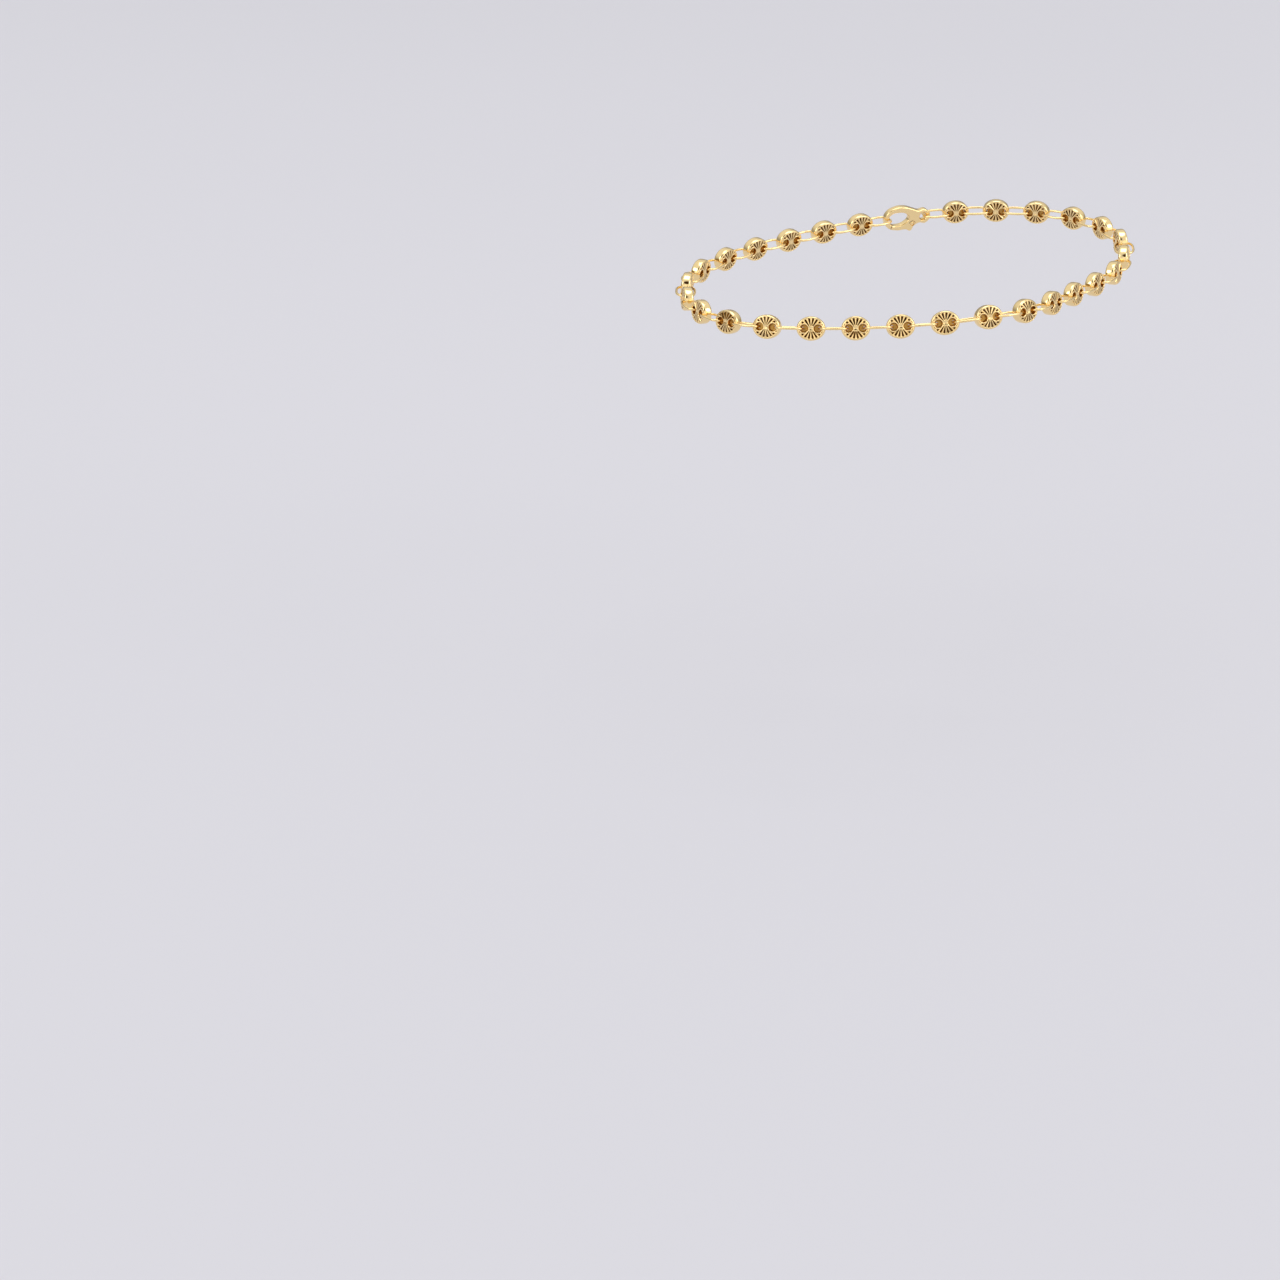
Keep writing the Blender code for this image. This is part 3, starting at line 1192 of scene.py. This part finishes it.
@dataclass
class ClawClasp:
    """The closed claw at the back: hook, lever with its thumb tab, pivot and eyelet.

    Args:
        inner_length: From the far wall of the eye to the inside of the hook.
        height: Over the back and the lever.
        bow: Thickness of the hook's wall.
        thickness: Through the claw.
        edge: Rounding of its edges.
        edge_steps: Steps of that rounding.
        line_steps: Steps between two points of an outline.
        weld: Distance in millimetres within which points of the plate are one.
        eye_radius: Radius of the eye.
        eye_wall: Metal round the eye.
        eye_points: Points of the eye's outline.
        ring_reach: From a ring's middle to the wall that it hangs on.
        slit: Width of the slits that free the lever.
        arc: Radius of the slit round the pivot.
        arc_start: Degrees at which that slit starts.
        arc_step: Degrees between its points.
        arc_points: How many points it has.
        gate: Points of the slit at the hook's tip, in millimetres.
        pivot: Radius of the pivot's head.
        pivot_bore: Radius of the bore that the pivot's head is sunk in.
        pivot_sides: Steps round the pivot.
        pivot_spot: Where the pivot is, from the middle of the claw.
        sunk: How far the top of the pivot lies below the claw's face.
        dome: Rise of its domed head.
        dome_steps: Steps over the head.
        waist: Height from which the pivot fills its bore.
        hold: How far it reaches into the claw there.
        crease: Degrees from which an edge is sharp.
        level: How upright the normal of a face that is shaded flat is.
        back: Outline of the back, as shares of the half length and half height.
        eyelet: Outline round the eye, as shares of the half length and the eyelet's radius.
        lever: Outline of the lever, as shares of the half length and half height.
        opening: Outline of the hook's opening, as shares of its half length and half height.
    """

    inner_length: float = 8.44 * MM
    height: float = 5.4 * MM
    bow: float = 0.9 * MM
    thickness: float = 1.6 * MM
    edge: float = 0.3 * MM
    edge_steps: int = 7
    line_steps: int = 10
    weld: float = 0.0002
    eye_radius: float = 0.75 * MM
    eye_wall: float = 0.75 * MM
    eye_points: int = 5
    ring_reach: float = 2.3 * MM
    slit: float = 0.13 * MM
    arc: float = 0.66 * MM
    arc_start: float = 165.0
    arc_step: float = 15.0
    arc_points: int = 11
    gate: tuple[Spot, ...] = ((3.35, -0.9), (3.55, -1.35), (3.95, -2.3))
    pivot: float = 0.38 * MM
    pivot_bore: float = 0.44 * MM
    pivot_sides: int = 36
    pivot_spot: tuple[float, float, float] = (-1.05 * MM, -1.32 * MM, 0.0)
    sunk: float = 0.01 * MM
    dome: float = 0.12 * MM
    dome_steps: int = 5
    waist: float = 0.55 * MM
    hold: float = 0.04 * MM
    crease: float = 40.0
    level: float = 0.999
    back: tuple[Spot, ...] = (
        (1.0, 0.0), (0.893, 0.574), (0.566, 0.926), (0.137, 0.963), (-0.254, 0.704),
    )
    eyelet: tuple[Spot, ...] = (
        (-0.502, 0.934), (-0.795, 1.0), (-1.0, 0.0), (-0.795, -1.0), (-0.502, -0.9),
    )
    lever: tuple[Spot, ...] = (
        (-0.293, -0.704), (-0.137, -1.074), (0.059, -0.926), (0.469, -0.907), (0.873, -0.593),
    )
    opening: tuple[Spot, ...] = (
        (1.0, 0.0), (0.865, 0.611), (0.474, 0.806), (0.071, 0.556),
        (-0.071, 0.0), (0.118, -0.528), (0.498, -0.778), (0.853, -0.583),
    )

    def build(self, frame: Mapping[str, Any], finish: GoldFinish) -> bpy.types.Object:
        """Makes the clasp and hands it over to the frame.

        Args:
            finish: The clasp's finish.

        Returns:
            The clasp's object.
        """
        nodes = frame["nodes"]
        rings = sorted(name for name in nodes if name.startswith("wire_ring"))
        mesh = self._claw()
        mesh.transform(self._place(nodes["clasp"], nodes[rings[-1]], nodes[rings[0]]).matrix)
        made = dressed("claw_and_lever", mesh, finish.material())
        hand_over(made, ["clasp"])
        return made

    def _place(
        self, claw: bpy.types.Object, before: bpy.types.Object, after: bpy.types.Object
    ) -> Place:
        """The clasp's place, from its solid and the rings at its two ends.

        Args:
            claw: The clasp's node.
            before: The ring in its eye.
            after: The ring in its hook.

        Returns:
            The place of the clasp's own axes.
        """
        ring_in = solid_place(before, Lie.EDGE_OUT)
        ring_out = solid_place(after, Lie.EDGE_OUT)
        start = ring_in.middle + ring_in.along * self.ring_reach
        end = ring_out.middle - ring_out.along * self.ring_reach
        along = (end - start).normalized()
        middle, axes = solid_axes(claw)
        out = axes[2] if axes[2].dot(middle) > 0 else -axes[2]
        out = (out - along * out.dot(along)).normalized()
        return Place((start + end) / 2, along, out.cross(along), out)

    def _outlines(self) -> list[list[Spot]]:
        """The outlines that the plate is cut to.

        Returns:
            The claw's outer line, the opening of the hook and the eye.
        """
        wall = self.inner_length / 2
        end = wall + self.bow
        rise = self.height / 2
        boss = self.eye_radius + self.eye_wall
        outer = ((self.back, rise), (self.eyelet, boss), (self.lever, rise))
        outline = [(end * x, tall * y) for points, tall in outer for x, y in points]
        opening = [(wall * x, (rise - self.bow) * y) for x, y in self.opening]
        eye = []
        for step in range(self.eye_points):
            turn = math.tau * step / self.eye_points + math.pi
            x = self.eye_radius - wall + self.eye_radius * math.cos(turn)
            eye.append((x, self.eye_radius * math.sin(turn)))
        return [outline, opening, eye]

    def _claw(self) -> bpy.types.Mesh:
        """The claw in its own axes.

        Returns:
            The closed mesh, with its slits cut and its pivot set in.
        """
        spot = Vector(self.pivot_spot)
        x, y, radius = (part / MM for part in (*self.pivot_spot[:2], self.arc))
        arc = []
        for step in range(self.arc_points):
            turn = math.radians(self.arc_start - self.arc_step * step)
            arc.append((x + radius * math.cos(turn), y + radius * math.sin(turn)))
        sink = bore("pivot_bore", self.pivot_bore, self.thickness, self.pivot_sides, spot)
        body = carve("slit_claw", self._plate(), [self._band(arc), self._band(self.gate), sink])
        pivot = turned_mesh("pivot", self._pivot_profile(), self.pivot_sides, spot)
        mesh = joined("claw", [body, pivot])
        mesh.shade_smooth()
        mesh.set_sharp_from_angle(angle=math.radians(self.crease))
        for face in mesh.polygons:
            face.use_smooth = abs(face.normal.z) < self.level
        return mesh

    def _plate(self) -> bpy.types.Mesh:
        """The flat claw with rounded edges, worked in millimetres and then brought to size.

        Returns:
            The closed mesh.
        """
        curve = bpy.data.curves.new("plate", "CURVE")
        curve.dimensions = "2D"
        curve.fill_mode = "BOTH"
        curve.extrude = (self.thickness / 2 - self.edge) / MM
        curve.bevel_depth = self.edge / MM
        curve.bevel_resolution = self.edge_steps
        curve.offset = -self.edge / MM
        for points in self._outlines():
            spline = curve.splines.new("BEZIER")
            spline.bezier_points.add(len(points) - 1)
            spline.use_cyclic_u = True
            spline.resolution_u = self.line_steps
            for knot, (x, y) in zip(spline.bezier_points, points):
                knot.co = (x / MM, y / MM, 0.0)
                knot.handle_left_type = "AUTO"
                knot.handle_right_type = "AUTO"
        mesh = plain_mesh("plate", in_scene("plate", curve))
        shape = bmesh.new()
        shape.from_mesh(mesh)
        bmesh.ops.remove_doubles(shape, verts=shape.verts, dist=self.weld)
        bmesh.ops.scale(shape, vec=(MM, MM, MM), verts=shape.verts)
        bmesh.ops.recalc_face_normals(shape, faces=shape.faces)
        return written(shape, mesh)

    def _band(self, path: Sequence[Spot]) -> bpy.types.Mesh:
        """A thin upright band that cuts a slit.

        Args:
            path: Points of the slit, in millimetres.

        Returns:
            The closed cutter.
        """
        spots = [Vector((x, y, 0.0)) * MM for x, y in path]
        shape = bmesh.new()
        rows = []
        for index, spot in enumerate(spots):
            before = spots[max(index - 1, 0)]
            after = spots[min(index + 1, len(spots) - 1)]
            ahead = (after - before).normalized()
            aside = Vector((-ahead.y, ahead.x, 0.0)) * self.slit / 2
            rows.append([
                shape.verts.new(spot + aside * side + Vector((0.0, 0.0, self.thickness * tall)))
                for side, tall in ((1, 1), (-1, 1), (-1, -1), (1, -1))
            ])
        for here, after in zip(rows, rows[1:]):
            for corner in range(4):
                turned = (corner + 1) % 4
                shape.faces.new((here[corner], here[turned], after[turned], after[corner]))
        for end in (rows[0], rows[-1]):
            shape.faces.new(end)
        bmesh.ops.recalc_face_normals(shape, faces=shape.faces)
        return written(shape, bpy.data.meshes.new("slit"))

    def _pivot_profile(self) -> list[Spot]:
        """The pivot with its two domed heads, sunk in the bore.

        Returns:
            Its profile as (radius, height), from top to bottom.
        """
        top = self.thickness / 2 - self.sunk
        half = [(0.0, top)]
        for turn in quarter_turn(self.dome_steps, 1):
            half.append((self.pivot * math.sin(turn), top - self.dome * (1.0 - math.cos(turn))))
        half += [(self.pivot, self.waist), (self.pivot_bore + self.hold, self.waist)]
        return mirrored(half)


# ---------------------------------------------------------------------------------------------
# Studio
# ---------------------------------------------------------------------------------------------


@dataclass(frozen=True)
class SoftBox:
    """One soft studio light.

    Args:
        name: What it is called.
        spot: Where it stands.
        size: Width and height.
        power: Watts.
        colour: Linear colour.
    """

    name: str
    spot: tuple[float, float, float]
    size: tuple[float, float]
    power: float
    colour: Colour = (1.0, 0.985, 0.96)

    def switch_on(self) -> None:
        """Stands the light in the scene, turned to the anklet."""
        lamp = bpy.data.lights.new(self.name, "AREA")
        lamp.shape = "RECTANGLE"
        lamp.size, lamp.size_y = self.size
        lamp.energy = self.power
        lamp.color = self.colour
        holder = in_scene(self.name, lamp)
        holder.location = self.spot
        holder.rotation_euler = (-Vector(self.spot)).to_track_quat("-Z", "Y").to_euler()


@dataclass(frozen=True)
class WallPatch:
    """A soft-edged patch of the studio's walls that is brighter or darker than the rest.

    Args:
        turn: Degrees to the right of the camera, seen from the anklet.
        rise: Degrees above the horizon.
        inner: Degrees from its middle to which it is full.
        outer: Degrees from its middle at which it has faded out.
        colour: Its linear colour and brightness.
    """

    turn: float
    rise: float
    inner: float
    outer: float
    colour: Colour

    def direction(self, home: float) -> Vector:
        """The direction in which the patch lies.

        Args:
            home: The camera's bearing in radians.

        Returns:
            A unit vector from the anklet to the middle of the patch.
        """
        bearing = home + math.radians(self.turn)
        level = math.radians(self.rise)
        flat = Vector((math.cos(bearing), math.sin(bearing), 0.0)) * math.cos(level)
        return flat + Vector((0.0, 0.0, math.sin(level)))


@dataclass
class Studio:
    """Floor, soft light and camera.

    Args:
        floor_level: Height of the floor.
        floor_reach: Half width of the floor.
        eye: Where the camera stands.
        ahead: Where it looks.
        up: Its upward direction.
        lens: Focal length in millimetres.
        sensor: Width of the sensor in millimetres.
        clip: Nearest and farthest distance that the camera shows.
        lights: The soft boxes.
        horizon: Linear colour of the walls at the horizon.
        zenith: Linear colour of the ceiling.
        ceiling: Sines of the elevations between which the walls turn into the ceiling.
        patches: The brighter and darker patches of the walls.
    """

    floor_level: float = -0.085
    floor_reach: float = 4.0
    eye: tuple[float, float, float] = (-0.26966, -0.65253, 0.20478)
    ahead: tuple[float, float, float] = (0.28652, 0.8818, -0.37461)
    up: tuple[float, float, float] = (0.11576, 0.35627, 0.92718)
    lens: float = 102.18
    sensor: float = 36.0
    clip: tuple[float, float] = (0.01, 50.0)
    lights: tuple[SoftBox, ...] = (
        SoftBox("box_left", (-1.1, -0.25, 0.75), (0.45, 0.6), 2.2),
        SoftBox("box_right", (0.85, -0.75, 0.8), (0.45, 0.6), 2.2),
        SoftBox("box_top", (0.2, 0.3, 2.6), (1.6, 1.6), 16.0),
    )
    horizon: Colour = (0.3298, 0.3332, 0.34)
    zenith: Colour = (0.833, 0.8415, 0.85)
    ceiling: tuple[float, float] = (0.1, 0.75)
    patches: tuple[WallPatch, ...] = (
        WallPatch(75.0, 18.0, 10.0, 30.0, (1.5, 1.47, 1.4)),
        WallPatch(-66.0, 0.0, 12.0, 22.0, (0.26, 0.165, 0.06)),
        WallPatch(-34.0, 10.0, 13.0, 21.0, (1.1, 1.07, 1.0)),
        WallPatch(40.0, 12.0, 14.0, 26.0, (1.15, 1.12, 1.05)),
        WallPatch(0.0, 16.0, 13.0, 23.0, (1.15, 1.12, 1.05)),
        WallPatch(0.0, 47.0, 12.0, 20.0, (0.05, 0.028, 0.01)),
        WallPatch(0.0, 13.0, 3.0, 8.0, (0.1, 0.06, 0.03)),
    )

    def build(self) -> None:
        """Sets up the floor, the light and the camera."""
        self._floor()
        self._world()
        for light in self.lights:
            light.switch_on()
        self._camera()
        bpy.context.scene.view_settings.view_transform = "Standard"
        LOG.info("studio: floor, %d soft boxes and camera", len(self.lights))

    def _floor(self) -> None:
        """Lays the plain pale floor."""
        mesh = bpy.data.meshes.new("studio_floor")
        reach = self.floor_reach
        corners = ((-reach, -reach), (reach, -reach), (reach, reach), (-reach, reach))
        mesh.from_pydata([(x, y, self.floor_level) for x, y in corners], [], [(0, 1, 2, 3)])
        floor = dressed("studio_floor", mesh, FloorFinish().material())

    def _world(self) -> None:
        """Paints the soft walls: bright overhead, darker low down, with patches."""
        world = bpy.data.worlds.new("soft_walls")
        bpy.context.scene.world = world
        sheet = Sheet.shader(world)
        ray = sheet.term("ShaderNodeTexCoord", None, None, "Generated")
        _, _, rise = sheet.split(ray)
        colour = sheet.mixed(rise.eased(*self.ceiling), self.horizon, self.zenith)
        home = math.atan2(self.eye[1], self.eye[0])
        for patch in self.patches:
            rays = {0: ray, 1: patch.direction(home)}
            facing = sheet.term(
                "ShaderNodeVectorMath", {"operation": "DOT_PRODUCT"}, rays, "Value"
            )
            low, high = (math.cos(math.radians(edge)) for edge in (patch.outer, patch.inner))
            colour = sheet.mixed(facing.eased(low, high), colour, patch.colour)
        glow = sheet.term("ShaderNodeBackground", None, {"Color": colour, "Strength": 1.0})
        sheet.node("ShaderNodeOutputWorld", None, {"Surface": glow})

    def _camera(self) -> None:
        """Stands the camera where the photograph was taken from."""
        lens = bpy.data.cameras.new("camera")
        lens.lens = self.lens
        lens.sensor_width = self.sensor
        lens.clip_start, lens.clip_end = self.clip
        camera = in_scene("camera", lens)
        ahead = Vector(self.ahead).normalized()
        side = ahead.cross(Vector(self.up)).normalized()
        turn = Matrix((side, side.cross(ahead), -ahead)).transposed().to_4x4()
        camera.matrix_world = Matrix.Translation(Vector(self.eye)) @ turn
        bpy.context.scene.camera = camera


def empty_scene() -> None:
    """Takes everything out of the file that Blender starts with."""
    for item in list(bpy.data.objects):
        bpy.data.objects.remove(item, do_unlink=True)


def main() -> None:
    """Builds every sub-assembly in order and reports it."""
    logging.basicConfig(level=logging.INFO, format="%(name)s: %(message)s")
    empty_scene()
    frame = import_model()

    Studio().build()
    WireRings().build(frame, GoldFinish(Working.DRAWN, roughness=0.12, mark=0.1 * MM))
    PuffedLinks().build(frame, GoldFinish(Working.BRIGHT_CUT, roughness=0.07))
    ClawClasp().build(frame, GoldFinish(Working.CAST, roughness=0.14, mark=0.25 * MM))


if __name__ == "__main__":
    main()
